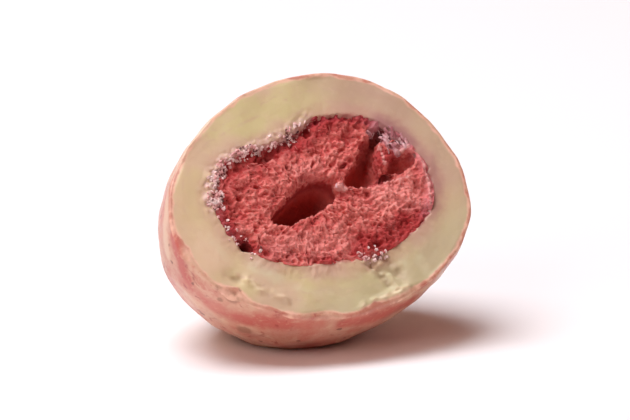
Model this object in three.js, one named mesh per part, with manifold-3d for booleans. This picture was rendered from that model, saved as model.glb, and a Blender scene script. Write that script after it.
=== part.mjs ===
import * as THREE from 'three';
import { mergeVertices } from 'three/addons/utils/BufferGeometryUtils.js';
import Module from 'manifold-3d';

// A freeze-dried strawberry in a thick ball of white chocolate, cut through with a knife. This is the
// larger of the two parts. It lies on its round side, with the cut face raised and turned to the right.
// Millimetres, +Z up, front towards -Y. The origin is the middle of the flat spot that it rests on.
//
// Both pieces are first worked out on the cut: across it (level, to the right), up it, and out of it,
// from the middle of the ball. They are laid down on the flat spot after that.

const wasm = await Module();
wasm.setup();

// The ball before the cut: its long axis lies along the cut and leans up from level (degrees)
const HALF_LENGTH = 14.7;
const HALF_WIDTH = 12.1;
const HALF_DEPTH = 13.9;
const LONG_AXIS_LEAN = 14;
// Waves round the ball, their height as a share of the radius, and where one crest is (degrees)
const SWELLS = [
  { waves: 3, height: 0.022, crest: -56 },
  { waves: 4, height: 0.008, crest: -27 },
  { waves: 5, height: 0.006, crest: -31 },
];
// It is fullest low down in front, where it rests: level direction on the cut and angle from the way
// the cut looks, both in degrees
const FULL_SIDE = { direction: 252, polar: 124, spread: 27, height: 0.55 };
const SKIN_LUMP = 0.1;          // height of the low lumps that rolling in the pan leaves
const SKIN_LUMP_LENGTH = 5.5;   // from one such lump to the next

// The cut, and how the piece lies
const CUT_OUT = 1.9;            // the cut is this far in front of the ball's middle
const FACE_RAISED = 40.4;       // degrees from level up to the way the cut face looks
const FACE_TURNED = 20.8;       // degrees from the front to the right
const MIDDLE = new THREE.Vector3(1.7, -0.7, 12.4);  // the ball's middle, above the flat spot

// The rim, where the skin meets the cut: a soft edge, with nicks at these directions (degrees)
const RIM_SOFTNESS = 0.18;
const RIM_NICKS = [
  { at: 196, spread: 7, depth: 0.35 },
  { at: 224, spread: 6, depth: 0.5 },
  { at: 262, spread: 8, depth: 0.3 },
  { at: 284, spread: 5, depth: 0.35 },
  { at: 68, spread: 5, depth: 0.2 },
];

// The strawberry: its middle on the cut, its radius at every 20 degrees from level right, its depth
const BERRY_ACROSS = 0.2;
const BERRY_UP = 0.9;
const BERRY_RADII = [
  10.9, 10.3, 9.5, 8.4, 7.3, 6.3, 6.1, 7.2, 9.4, 10.5, 10.6, 9.7, 8.6, 7.8, 7.8, 8.3, 9.1, 10.5,
];
const BERRY_DEPTH = 10.5;
const BERRY_FULLNESS = 2.3;     // how square its back is: 2 is an ellipse
const BERRY_GAP = 0.32;         // between the strawberry and the chocolate round it
const CRUMB_HEIGHT = 0.2;       // relief of the torn flesh on the cut
const CRUMB_LENGTH = 3.0;

// Relief on its cut flesh, as for the chocolate below: the shrunk upper border, the crack beyond the
// upper pocket, the crease that joins both pockets, the lip under the heart, the flap between the
// pockets and the fold of red skin
const FLESH_STROKES = [
  { from: [-8.4, 3.4], to: [-4.0, 4.8], width: 0.7, height: -0.4 },
  { from: [-4.0, 4.8], to: [0.4, 6.8], width: 0.7, height: -0.5 },
  { from: [6.9, 5.4], to: [8.1, 6.5], width: 0.4, height: -0.6 },
  { from: [6.2, 1.3], to: [7.6, 1.9], width: 0.4, height: -0.9 },
  { from: [-3.6, -3.2], to: [1.8, -1.6], width: 1.0, height: 0.25 },
  { from: [6.9, 2.5], to: [7.0, 4.4], width: 0.35, height: 0.4 },
  { from: [10.3, 2.6], to: [10.4, -1.6], width: 0.4, height: 0.35 },
];

// Pits in the strawberry, by points round their edge on the cut: the hollow heart and its two side
// pockets, and a small hole at the border. foot is the line that a pit narrows to, and throat is how
// wide it still is a sixth of the way down, as a share of its width at the edge
const HEART = {
  edge: [
    [-5.3, -1.6], [-3.4, 0.4], [-1.3, 2.3], [0.8, 2.4], [2.2, 0.8], [0.9, -0.9], [-2.0, -2.1], [-4.6, -2.5],
  ],
  foot: [[-4.2, -1.9], [1.2, 0.0]],
  throat: 0.76,
  depth: 6.0,
};
const UPPER_POCKET = {
  edge: [
    [2.5, 0.9], [3.4, 2.5], [4.6, 3.9], [5.2, 5.1], [6.5, 5.9],
    [7.8, 6.6], [7.0, 4.8], [6.4, 3.2], [6.4, 1.2], [4.6, 0.5],
  ],
  foot: [[3.7, 1.5], [5.4, 2.6]],
  throat: 0.86,
  depth: 3.2,
};
const SIDE_POCKET = {
  edge: [[7.1, 2.3], [8.0, 3.4], [9.2, 3.8], [10.1, 3.2], [9.6, 2.1], [8.2, 1.6]],
  foot: [[7.9, 2.4], [9.4, 2.9]],
  throat: 0.96,
  depth: 1.2,
};
const BORDER_HOLE = {
  edge: [[-8.8, -4.2], [-8.1, -3.8], [-7.7, -4.4], [-8.3, -5.1]],
  foot: [[-8.3, -4.2], [-8.2, -4.6]],
  throat: 0.95,
  depth: 2.0,
};

// Relief on the cut chocolate: [across, up] of both ends, half width, and height (below 0 is a groove)
const FACE_STROKES = [
  { from: [2.9, -6.6], to: [4.3, -9.6], width: 0.45, height: -0.35 },
  { from: [4.3, -6.3], to: [5.6, -8.8], width: 0.4, height: -0.3 },
  { from: [3.6, -7.4], to: [5.0, -7.6], width: 1.1, height: -0.3 },
  { from: [2.7, -11.2], to: [5.8, -10.3], width: 0.4, height: 0.45 },
  { from: [1.0, -11.7], to: [1.4, -11.6], width: 0.3, height: 0.35 },
  { from: [-10.3, -7.0], to: [-9.7, -7.5], width: 0.5, height: -0.3 },
];

// How finely the solids are made
const AROUND = 80;
const SKIN_ROWS = 16;
const FACE_ROWS = 8;
const CAVITY_ROWS = 7;
const BERRY_AROUND = 80;
const BERRY_FACE_ROWS = 20;
const PIT_AROUND = 24;

const radians = THREE.MathUtils.degToRad;

// ---------------------------------------------------------------- shapes on the cut

// How far a direction on the ball stands out from the plain ellipsoid, as a factor on its radius.
// turn goes round the cut from the long axis, polar is 0 straight out of the cut and PI at the back.
function swell(turn, polar) {
  let height = 0;
  for (const wave of SWELLS) {
    height += wave.height * Math.cos(wave.waves * (turn - radians(wave.crest)));
  }
  return 1 + height * Math.sin(polar) ** 2;
}

// Height of the full side in a direction
function fullness(turn, polar) {
  const directionAt = (level, away) => new THREE.Vector3().setFromSphericalCoords(1, away, level);
  const crest = directionAt(radians(FULL_SIDE.direction - LONG_AXIS_LEAN), radians(FULL_SIDE.polar));
  const away = THREE.MathUtils.radToDeg(directionAt(turn, polar).angleTo(crest));
  return FULL_SIDE.height * Math.exp(-((away / FULL_SIDE.spread) ** 2));
}

function ballPoint(turn, polar) {
  const size = swell(turn, polar);
  const along = HALF_LENGTH * size * Math.sin(polar) * Math.cos(turn);
  const wide = HALF_WIDTH * size * Math.sin(polar) * Math.sin(turn);
  const point = new THREE.Vector3(along, wide, HALF_DEPTH * size * Math.cos(polar));
  point.applyAxisAngle(new THREE.Vector3(0, 0, 1), radians(LONG_AXIS_LEAN));
  const k = 2 * Math.PI / SKIN_LUMP_LENGTH;
  const lump = Math.sin(k * point.x + 1) * Math.sin(k * point.y + 2) * Math.sin(k * point.z);
  return point.multiplyScalar(1 + (SKIN_LUMP * lump + fullness(turn, polar)) / point.length());
}

// The polar angle at which the skin reaches a height out of the ball's middle
function polarAt(turn, out) {
  let polar = Math.PI / 2;
  for (let step = 0; step < 6; step += 1) {
    polar -= (out - ballPoint(turn, polar).z) / HALF_DEPTH;
  }
  return polar;
}

// Depth of the rim's nicks in a direction, beyond its soft edge
function nickDepth(turn) {
  const direction = THREE.MathUtils.radToDeg(turn) + LONG_AXIS_LEAN;
  let depth = 0;
  for (const nick of RIM_NICKS) {
    const away = ((direction - nick.at + 540) % 360 + 360) % 360 - 180;
    depth += nick.depth * Math.exp(-((away / nick.spread) ** 2));
  }
  return depth;
}

// The strawberry's radius in a direction, on a smooth curve through BERRY_RADII
function berryRadius(direction) {
  const count = BERRY_RADII.length;
  const place = ((direction / (2 * Math.PI)) % 1 + 1) % 1 * count;
  const first = Math.floor(place);
  const share = place - first;
  const [a, b, c, d] = [-1, 0, 1, 2].map((step) => BERRY_RADII[(first + step + count) % count]);
  const bend = (2 * a - 5 * b + 4 * c - d) * share ** 2 + (3 * b - a - 3 * c + d) * share ** 3;
  return 0.5 * (2 * b + (c - a) * share + bend);
}

// A point of the strawberry's side: share 0 is at the cut and 1 at its back
function berryWall(direction, share, gap) {
  const radius = (berryRadius(direction) + gap) * (1 - share ** BERRY_FULLNESS) ** (1 / BERRY_FULLNESS);
  return new THREE.Vector3(
    BERRY_ACROSS + radius * Math.cos(direction),
    BERRY_UP + radius * Math.sin(direction),
    CUT_OUT - share * (BERRY_DEPTH + gap),
  );
}

// Height of a raised or sunken stroke at a point of the cut
function strokeHeight(stroke, across, up) {
  const [x0, y0] = stroke.from;
  const [x1, y1] = stroke.to;
  const length = (x1 - x0) ** 2 + (y1 - y0) ** 2;
  const along = THREE.MathUtils.clamp(((across - x0) * (x1 - x0) + (up - y0) * (y1 - y0)) / length, 0, 1);
  const away = Math.hypot(across - x0 - along * (x1 - x0), up - y0 - along * (y1 - y0));
  return stroke.height * Math.exp(-((away / stroke.width) ** 2));
}

function strokesHeight(strokes, across, up) {
  return strokes.reduce((height, stroke) => height + strokeHeight(stroke, across, up), 0);
}

// Relief of the cut chocolate: the knife's low waves and the strokes
function faceRelief(across, up) {
  const waves = 0.06 * Math.sin(0.55 * across + 0.8 * up) + 0.04 * Math.sin(1.3 * across - 0.5 * up + 1);
  return waves + strokesHeight(FACE_STROKES, across, up);
}

// Relief of the torn flesh: coarse crumbs, finer ones across them, and the strokes
function fleshRelief(across, up) {
  const k = 2 * Math.PI / CRUMB_LENGTH;
  const coarse = Math.sin(k * across + Math.sin(0.9 * up)) * Math.sin(k * up + Math.sin(1.1 * across));
  const fine = Math.sin(1.6 * k * (across + 0.6 * up)) * Math.sin(1.7 * k * (up - 0.5 * across) + 1);
  return CRUMB_HEIGHT * (0.6 * coarse + 0.5 * fine) + strokesHeight(FLESH_STROKES, across, up);
}

// ---------------------------------------------------------------- closed solids

// A closed surface from rings of points, each end closed to one point. The rings go forwards along
// the way out of the cut where the surface's outside faces away from their middle.
function closedRings(rings, startPoint, endPoint) {
  const around = rings[0].length;
  const points = [startPoint, ...rings.flat(), endPoint];
  const triangles = [];
  const at = (ring, step) => 1 + ring * around + (step % around);
  for (let step = 0; step < around; step += 1) {
    triangles.push(0, at(0, step + 1), at(0, step));
    for (let ring = 0; ring < rings.length - 1; ring += 1) {
      triangles.push(at(ring, step), at(ring, step + 1), at(ring + 1, step + 1));
      triangles.push(at(ring, step), at(ring + 1, step + 1), at(ring + 1, step));
    }
    triangles.push(points.length - 1, at(rings.length - 1, step), at(rings.length - 1, step + 1));
  }
  const geometry = new THREE.BufferGeometry();
  geometry.setAttribute('position', new THREE.Float32BufferAttribute(points.flatMap((p) => p.toArray()), 3));
  geometry.setIndex(triangles);
  return geometry;
}

function ring(around, pointAt) {
  return Array.from({ length: around }, (_, step) => pointAt(2 * Math.PI * step / around));
}

function toSolid(geometry) {
  const bare = geometry.clone();
  bare.deleteAttribute('normal');
  bare.deleteAttribute('uv');
  const merged = mergeVertices(bare, 1e-5);
  return new wasm.Manifold(new wasm.Mesh({
    numProp: 3,
    vertProperties: new Float32Array(merged.attributes.position.array),
    triVerts: new Uint32Array(merged.index.array),
  }));
}

function toGeometry(solid) {
  const mesh = solid.getMesh();
  const geometry = new THREE.BufferGeometry();
  geometry.setAttribute('position', new THREE.BufferAttribute(new Float32Array(mesh.vertProperties), 3));
  geometry.setIndex(new THREE.BufferAttribute(new Uint32Array(mesh.triVerts), 1));
  geometry.computeVertexNormals();
  return geometry;
}

// ---------------------------------------------------------------- the chocolate

function coatingShell() {
  const rings = [];
  const rimDrop = (turn) => RIM_SOFTNESS + nickDepth(turn);
  const skinEnd = (turn) => polarAt(turn, CUT_OUT - rimDrop(turn));
  for (let row = 1; row <= SKIN_ROWS; row += 1) {
    const share = row / SKIN_ROWS;
    rings.push(ring(AROUND, (turn) => ballPoint(turn, Math.PI + (skinEnd(turn) - Math.PI) * share)));
  }
  const rim = (turn) => {
    const edge = ballPoint(turn, polarAt(turn, CUT_OUT));
    const inwards = 1 - rimDrop(turn) / Math.hypot(edge.x, edge.y);
    return new THREE.Vector3(edge.x * inwards, edge.y * inwards, CUT_OUT);
  };
  const onFace = (point) => point.setZ(CUT_OUT + faceRelief(point.x, point.y));
  for (let row = 0; row <= FACE_ROWS; row += 1) {
    const share = row / FACE_ROWS;
    rings.push(ring(AROUND, (turn) => {
      const border = berryWall(turn + radians(LONG_AXIS_LEAN), 0, BERRY_GAP);
      return onFace(rim(turn).lerp(border, share));
    }));
  }
  for (let row = 1; row < CAVITY_ROWS; row += 1) {
    const share = Math.sin(row / CAVITY_ROWS * Math.PI / 2);
    rings.push(ring(AROUND, (turn) => berryWall(turn + radians(LONG_AXIS_LEAN), share, BERRY_GAP)));
  }
  return closedRings(rings, ballPoint(0, Math.PI), berryWall(0, 1, BERRY_GAP));
}

// ---------------------------------------------------------------- the strawberry

function berryBody() {
  const rings = [];
  for (let row = CAVITY_ROWS - 1; row > 0; row -= 1) {
    const share = Math.sin(row / CAVITY_ROWS * Math.PI / 2);
    rings.push(ring(BERRY_AROUND, (direction) => berryWall(direction, share, 0)));
  }
  const middle = berryWall(0, 1, 0).setZ(CUT_OUT);
  const onFlesh = (point) => point.setZ(CUT_OUT + fleshRelief(point.x, point.y));
  for (let row = 0; row < BERRY_FACE_ROWS; row += 1) {
    const share = row / BERRY_FACE_ROWS;
    rings.push(ring(BERRY_AROUND, (direction) => onFlesh(berryWall(direction, 0, 0).lerp(middle, share))));
  }
  return closedRings(rings, berryWall(0, 1, 0), onFlesh(middle.clone()));
}

// A pit as a solid to take away: it narrows from its edge on the cut to a round floor along its foot
function pitBody(pit) {
  const corners = pit.edge.map(([across, up]) => new THREE.Vector3(across, up, 0));
  const outline = new THREE.CatmullRomCurve3(corners, true, 'centripetal');
  const foot = new THREE.Line3(...pit.foot.map(([across, up]) => new THREE.Vector3(across, up, 0)));
  const levels = [[-1, 0.45], [-0.8, 0.72], [-0.45, 0.92], [-0.17, 1]].map(
    ([level, size]) => [level, size * pit.throat],
  );
  levels.push([0, 1], [0.2, 1.04]);
  const rings = levels.map(([level, size]) => ring(PIT_AROUND, (turn) => {
    const point = outline.getPointAt(1 - turn / (2 * Math.PI));
    const narrowed = foot.closestPointToPoint(point, true, new THREE.Vector3());
    return point.lerp(narrowed, 1 - size).setZ(CUT_OUT + level * pit.depth);
  }));
  const middle = foot.getCenter(new THREE.Vector3());
  const floor = middle.clone().setZ(CUT_OUT - 1.06 * pit.depth);
  return closedRings(rings, floor, middle.setZ(CUT_OUT + 0.2 * pit.depth));
}

// ---------------------------------------------------------------- laid down

// From the cut's own directions to the way the piece lies
function lying() {
  const raised = radians(FACE_RAISED);
  const turned = radians(FACE_TURNED);
  const across = new THREE.Vector3(Math.cos(turned), Math.sin(turned), 0);
  const out = new THREE.Vector3(
    Math.sin(turned) * Math.cos(raised),
    -Math.cos(turned) * Math.cos(raised),
    Math.sin(raised),
  );
  const up = new THREE.Vector3().crossVectors(out, across);
  return new THREE.Matrix4().makeBasis(across, up, out).setPosition(MIDDLE);
}

// All that lies below the flat spot
function belowFloor() {
  const size = 4 * HALF_LENGTH;
  return toSolid(new THREE.BoxGeometry(size, size, size).translate(0, 0, -size / 2));
}

function part(name, solid, colour, roughness) {
  const material = new THREE.MeshStandardMaterial({ color: colour, roughness, metalness: 0 });
  const mesh = new THREE.Mesh(toGeometry(solid), material);
  mesh.name = name;
  return mesh;
}

const coating = toSolid(coatingShell().applyMatrix4(lying())).subtract(belowFloor());
const pits = [HEART, UPPER_POCKET, SIDE_POCKET, BORDER_HOLE];
const berry = pits.reduce(
  (solid, pit) => solid.subtract(toSolid(pitBody(pit).applyMatrix4(lying()))),
  toSolid(berryBody().applyMatrix4(lying())),
);

const sweet = new THREE.Group();
sweet.add(part('white_chocolate_coating', coating, 0xdfc39a, 0.45));
sweet.add(part('freeze_dried_strawberry', berry, 0xb8504a, 0.9));

export default sweet;
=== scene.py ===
"""A ball of white chocolate cut open on the freeze-dried strawberry inside it, on a pale floor.

Shapes are worked out in millimetres on the cut: across it, up it and out of it, from the middle of
the ball, and are then laid down in the frame in metres.
"""
import math

import bpy
import numpy as np
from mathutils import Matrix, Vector, noise


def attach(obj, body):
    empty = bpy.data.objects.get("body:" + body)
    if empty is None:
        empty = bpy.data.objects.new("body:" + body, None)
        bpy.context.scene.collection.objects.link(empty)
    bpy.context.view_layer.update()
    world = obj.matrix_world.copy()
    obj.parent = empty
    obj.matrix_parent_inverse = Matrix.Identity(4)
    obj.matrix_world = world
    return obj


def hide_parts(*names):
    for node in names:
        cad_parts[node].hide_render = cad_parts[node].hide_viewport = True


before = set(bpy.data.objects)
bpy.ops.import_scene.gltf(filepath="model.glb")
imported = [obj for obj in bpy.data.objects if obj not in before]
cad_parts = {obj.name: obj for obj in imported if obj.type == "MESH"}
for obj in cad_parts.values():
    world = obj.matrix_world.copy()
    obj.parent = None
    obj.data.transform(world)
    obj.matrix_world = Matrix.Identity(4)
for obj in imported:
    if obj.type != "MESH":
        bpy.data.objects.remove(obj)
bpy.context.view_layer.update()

MM = 0.001

# The ball before the cut: half its sizes, and how its long axis leans up the cut
HALF_LENGTH, HALF_WIDTH, HALF_DEPTH = 14.7, 12.1, 13.9
LONG_AXIS_LEAN = math.radians(14)
# Waves round the ball: how many, their height as a share of the radius, and where a crest is
SWELLS = ((3, 0.022, -56), (4, 0.008, -27), (5, 0.006, -31))
FULL_SIDE = {"direction": 252, "polar": 124, "spread": 27, "height": 0.55}
SKIN_LUMP, SKIN_LUMP_LENGTH = 0.1, 5.5
PAN_LUMP, PAN_LUMP_LENGTH = 0.05, 1.9     # finer lumps on top, left by rolling in the pan

# The cut, and how the piece lies
CUT_OUT = 1.9
FACE_RAISED, FACE_TURNED = math.radians(40.4), math.radians(20.8)
MIDDLE = np.array((1.7, -0.7, 12.4))
ACROSS = np.array((math.cos(FACE_TURNED), math.sin(FACE_TURNED), 0))
OUT = np.array((
    math.sin(FACE_TURNED) * math.cos(FACE_RAISED),
    -math.cos(FACE_TURNED) * math.cos(FACE_RAISED),
    math.sin(FACE_RAISED),
))
UP = np.cross(OUT, ACROSS)

# The rim's soft edge and its nicks: direction, spread and depth
RIM_SOFTNESS = 0.18
RIM_NICKS = ((196, 7, 0.35), (224, 6, 0.5), (262, 8, 0.3), (284, 5, 0.35), (68, 5, 0.2))

# The strawberry: its middle on the cut, its radius at every 20 degrees, and its depth
BERRY_ACROSS, BERRY_UP = 0.2, 0.9
BERRY_RADII = (
    10.9, 10.3, 9.5, 8.4, 7.3, 6.3, 6.1, 7.2, 9.4, 10.5, 10.6, 9.7, 8.6, 7.8, 7.8, 8.3, 9.1, 10.5,
)
BERRY_DEPTH, BERRY_FULLNESS = 10.5, 2.3
CAVITY_GAP = 0.06               # the chocolate clings to the fruit
LIP_REACH, LIP_DROP = 0.5, 0.25   # how far the chocolate laps over the fruit's border, and dips there
BORDER_HOLE = {"direction": 211, "spread": 3.5, "step_back": 0.6}   # the lip stands back from a hole there
HEART = (-1.5, 0.0)             # middle of the hollow heart, which the fibres run away from

# Strokes on the cut chocolate: both ends, half width, and height (a groove is below 0)
FACE_STROKES = (
    ((2.9, -6.6), (4.3, -9.4), 0.4, -0.22),
    ((4.3, -6.3), (5.9, -8.8), 0.35, -0.2),
    ((3.6, -7.4), (5.0, -7.8), 1.1, -0.25),
    ((4.6, -8.4), (5.1, -9.9), 0.25, 0.2),
    ((2.6, -11.0), (5.0, -10.3), 0.45, 0.4),
    ((5.0, -10.3), (6.0, -9.9), 0.35, 0.3),
    ((0.9, -11.9), (1.5, -11.2), 0.4, 0.3),
    ((-10.3, -7.0), (-9.7, -7.5), 0.5, -0.2),
    ((-8.9, -7.6), (-7.9, -8.7), 0.45, 0.22),
    ((-6.6, -9.2), (-5.8, -9.8), 0.45, 0.2),
)

# Pale greenish patches on the cut chocolate: both ends, half width, and strength
PALE_PATCHES = (
    ((-8.0, -6.0), (-6.2, -7.4), 1.0, 0.9),
    ((-4.6, -8.8), (-1.6, -9.6), 0.9, 0.5),
    ((7.9, -7.1), (8.2, -8.3), 0.8, 0.7),
    ((-11.2, -3.6), (-10.4, -5.2), 0.7, 0.5),
)

# Marks on the cut flesh: both ends, half width, and strength. The pale ones are thin sheets and shreds
# that stand up, the red and pink ones are where the flesh is richer or paler, the dark ones are clefts and
# shade along the upper left border, sunk in the relief and darkened with painted shade.
PALE_MARKS = (
    ((6.8, 4.7), (6.8, 2.6), 0.22, 0.65),
    ((8.3, 3.6), (9.6, 4.2), 0.22, 0.9),
    ((6.6, 0.9), (8.8, 1.1), 0.25, 0.6),
    ((10.4, 2.9), (10.6, 0.5), 0.2, 0.65),
    ((10.6, 0.5), (10.2, -1.9), 0.2, 0.65),
    ((1.2, 0.5), (2.0, 0.9), 0.3, 1.0),
    ((2.0, 0.9), (2.5, 0.5), 0.3, 1.0),
)
RED_MARKS = (
    ((-8.3, 3.6), (-5.4, 4.2), 1.3, 0.8),
    ((-2.3, 5.4), (1.2, 6.9), 1.3, 0.9),
    ((1.6, 7.7), (6.4, 7.2), 1.0, 0.8),
    ((3.6, -5.6), (9.4, -2.6), 1.3, 1.4),
    ((-9.4, -3.2), (-6.3, -5.2), 0.8, 0.7),
    ((-9.6, 1.4), (-9.6, -1.6), 1.2, 0.65),
    ((-7.6, 2.0), (-7.2, 0.6), 1.2, 0.1),
    ((-4.2, -5.6), (0.5, -6.4), 0.7, 0.6),
    ((5.9, 3.4), (7.8, 3.4), 0.9, 1.0),
)
PINK_MARKS = (
    ((6.0, -0.4), (9.2, -0.6), 1.6, 1.2),
    ((-5.6, -4.6), (0.6, -4.6), 1.3, 0.9),
    ((-1.6, 2.8), (0.2, 3.2), 1.0, 0.7),
)
CLEFT_AND_SHADE_MARKS = (
    ((6.1, 1.3), (7.3, 1.7), 0.3, 1.0),
    ((6.9, 5.4), (8.1, 6.5), 0.35, 0.9),
    ((8.6, 5.1), (9.4, 4.7), 0.2, 0.9),
    ((-8.2, 3.2), (-4.0, 4.5), 0.5, 0.25),
    ((-4.0, 4.5), (0.4, 6.5), 0.5, 0.35),
    ((8.1, 5.4), (9.0, 4.6), 0.2, 0.9),
    ((-8.4, -4.0), (-8.1, -4.9), 0.45, 1.6),
)

# Stretches of the fruit's border: from and to a direction on the cut, in degrees, and how thickly the
# frost of sugar and seeds, or the lilac film of the fruit's skin, lies there
FROST_STRETCHES = ((160, 187, 1.5), (129, 160, 0.9), (84, 129, 0.75), (190, 222, 0.12), (284, 303, 0.5))
FILM_STRETCHES = ((17, 44, 1.0), (-24, 17, 0.6))

# Streaks of pink powder on the skin: both ends by direction on the cut and angle from the way the cut
# looks, in degrees, then half width in millimetres and strength
POWDER_STREAKS = (
    ((189, 84), (199, 87), 0.8, 1.0),
    ((199, 87), (206, 92), 1.1, 0.9),
    ((205, 95), (226, 95), 1.5, 0.72),
    ((231, 94), (248, 88), 1.7, 0.85),
    ((248, 87), (262, 86), 1.2, 0.6),
    ((272, 87), (300, 91), 1.5, 0.9),
    ((232, 104), (254, 108), 1.6, 0.6),
    ((196, 106), (204, 104), 1.0, 0.6),
)
# Paler cream streaks on the skin along the top and left of the rim, in the same way: a painted highlight
# where the light grazes the rim
RIM_HIGHLIGHT_STREAKS = (
    ((95, 83), (125, 83), 0.6, 0.8),
    ((125, 83), (150, 83), 0.6, 0.9),
    ((150, 84), (178, 86), 0.7, 0.9),
    ((178, 86), (190, 93), 0.9, 0.9),
    ((207, 84), (222, 81), 0.35, 0.6),
)
# Brown spots on the skin: direction and angle as above, and radius in millimetres
SKIN_SPOTS = (
    (218, 82, 0.4), (225, 84, 0.65), (221, 88, 0.3), (246, 81, 0.25), (112, 81, 0.3), (61, 82, 0.25),
    (236, 102, 0.8),
)

# How finely the chocolate and the fruit are made
AROUND, SKIN_ROWS, RIM_ROWS, FACE_ROWS, CAVITY_ROWS = 400, 110, 5, 62, 20
FLESH_VOXEL = 0.091
# Chocolate covers the fruit's side from so far below the cut, and all of it from further down. This
# share of the faces there is taken out.
COVERED_BELOW, BACK_BELOW, COVERED_THINNED = 1.2, 7.5, 0.9

# The photograph's view: a long lens, slightly raised, with the ball near the middle of the picture
VIEW_RAISED = math.radians(15)
VIEW_DISTANCE = 0.7
VIEW_WIDTH = 57.3               # millimetres across the picture at the ball
VIEW_DROP = 0.37                # the picture's middle is this far below the ball's
SENSOR = 36.0
ROOM_LIGHT = 0.14               # the room's own light, as a share of white
ROOM_TINT = (1.0, 0.48, 0.4, 1.0)  # and its warm tint
WINDOW_TINT, STRIP_TINT = (1.0, 0.84, 0.8), (1.0, 0.7, 0.62)
SOFTBOX_TINT = (0.98, 1.02, 1.1)    # the overhead light makes up for the warm ones


# ---------------------------------------------------------------- shapes on the cut

def smooth_step(low, high, value):
    share = np.clip((value - low) / (high - low), 0, 1)
    return share * share * (3 - 2 * share)


def fractal(points, length, octaves=3):
    """Seeded noise from about -1 to 1 at each point, with waves of this length."""
    return np.array([noise.fractal(Vector(p) / length, 1.0, 2.0, octaves) for p in points])


def on_sphere(turn, polar):
    return np.stack((np.sin(polar) * np.cos(turn), np.sin(polar) * np.sin(turn), np.cos(polar)), -1)


def ball_points(turn, polar):
    """Points of the ball's skin: turn goes round the cut, polar from straight out of it to the back."""
    turn, polar = np.broadcast_arrays(turn, polar)
    swell = sum(h * np.cos(count * (turn - math.radians(crest))) for count, h, crest in SWELLS)
    size = 1 + swell * np.sin(polar) ** 2
    long_side, short_side, depth = (on_sphere(turn, polar) * size[..., None]).T * np.array(
        (HALF_LENGTH, HALF_WIDTH, HALF_DEPTH)).reshape(3, *[1] * turn.ndim)
    across = long_side * math.cos(LONG_AXIS_LEAN) - short_side * math.sin(LONG_AXIS_LEAN)
    up = long_side * math.sin(LONG_AXIS_LEAN) + short_side * math.cos(LONG_AXIS_LEAN)
    points = np.stack((across.T, up.T, depth.T), -1)
    k = 2 * math.pi / SKIN_LUMP_LENGTH
    lumps = SKIN_LUMP * np.sin(k * points[..., 0] + 1) * np.sin(k * points[..., 1] + 2)
    lumps = lumps * np.sin(k * points[..., 2])
    crest = on_sphere(math.radians(FULL_SIDE["direction"]) - LONG_AXIS_LEAN, math.radians(FULL_SIDE["polar"]))
    away = np.degrees(np.arccos(np.clip(on_sphere(turn, polar) @ crest, -1, 1)))
    height = lumps + FULL_SIDE["height"] * np.exp(-(away / FULL_SIDE["spread"]) ** 2)
    return points * (1 + height / np.linalg.norm(points, axis=-1))[..., None]


def polar_at(turn, out):
    """The polar angle at which the skin reaches this far out of the ball's middle."""
    polar = np.full_like(turn, math.pi / 2)
    for _ in range(6):
        polar = polar - (out - ball_points(turn, polar)[..., 2]) / HALF_DEPTH
    return polar


def rim_drop(turn):
    direction = np.degrees(turn + LONG_AXIS_LEAN)
    drop = np.full_like(turn, RIM_SOFTNESS)
    for at, spread, depth in RIM_NICKS:
        away = (direction - at + 540) % 360 - 180
        drop += depth * np.exp(-(away / spread) ** 2)
    chips = fractal(np.stack((9 * np.cos(turn), 9 * np.sin(turn), 0 * turn), -1), 0.8)
    return drop * (1 + 0.5 * np.clip(chips, -1, 1))


def berry_radius(direction):
    """The strawberry's radius in a direction, on a smooth curve through BERRY_RADII."""
    radii = np.array(BERRY_RADII)
    place = (direction / (2 * math.pi)) % 1 * len(radii)
    first = np.floor(place).astype(int)
    share = place - first
    a, b, c, d = (radii[(first + step) % len(radii)] for step in (-1, 0, 1, 2))
    bend = (2 * a - 5 * b + 4 * c - d) * share ** 2 + (3 * b - a - 3 * c + d) * share ** 3
    return 0.5 * (2 * b + (c - a) * share + bend)


def berry_wall(direction, share, gap):
    """Points of the strawberry's side: share is 0 at the cut and 1 at its back."""
    radius = (berry_radius(direction) + gap) * (1 - share ** BERRY_FULLNESS) ** (1 / BERRY_FULLNESS)
    out = np.full_like(direction, CUT_OUT - share * (BERRY_DEPTH + np.max(gap)))
    return np.stack(
        (BERRY_ACROSS + radius * np.cos(direction), BERRY_UP + radius * np.sin(direction), out), -1)


def strokes_height(strokes, across, up):
    height = np.zeros_like(across)
    for (x0, y0), (x1, y1), width, top in strokes:
        length = (x1 - x0) ** 2 + (y1 - y0) ** 2
        along = np.clip(((across - x0) * (x1 - x0) + (up - y0) * (y1 - y0)) / length, 0, 1)
        away = np.hypot(across - x0 - along * (x1 - x0), up - y0 - along * (y1 - y0))
        height += top * np.exp(-(away / width) ** 2)
    return height


def skin_point(direction, polar):
    """The skin's point at a direction on the cut and an angle from the way it looks, in degrees."""
    return ball_points(math.radians(direction) - LONG_AXIS_LEAN, math.radians(polar))


def streaks_on_skin(streaks, points):
    """How strongly the streaks mark each point, 0 to 1."""
    marked = np.zeros(len(points))
    for start, end, width, strength in streaks:
        first = skin_point(*start)
        way = skin_point(*end) - first
        along = np.clip((points - first) @ way / (way @ way), 0, 1)
        away = np.linalg.norm(points - first - along[:, None] * way, axis=1)
        marked = np.maximum(marked, strength * np.exp(-(away / width) ** 2))
    return marked


def spots_on_skin(points):
    """How brown each point is under the spots, 0 to 1."""
    spots = np.zeros(len(points))
    for direction, polar, radius in SKIN_SPOTS:
        away = np.linalg.norm(points - skin_point(direction, polar), axis=1)
        spots = np.maximum(spots, np.exp(-(away / radius) ** 2))
    return spots


def round_fruit(points):
    """Each point's direction from the fruit's middle, and how far outside its outline it lies."""
    across, up = points[:, 0] - BERRY_ACROSS, points[:, 1] - BERRY_UP
    direction = np.arctan2(up, across)
    return direction, np.hypot(across, up) - berry_radius(direction)


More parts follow.
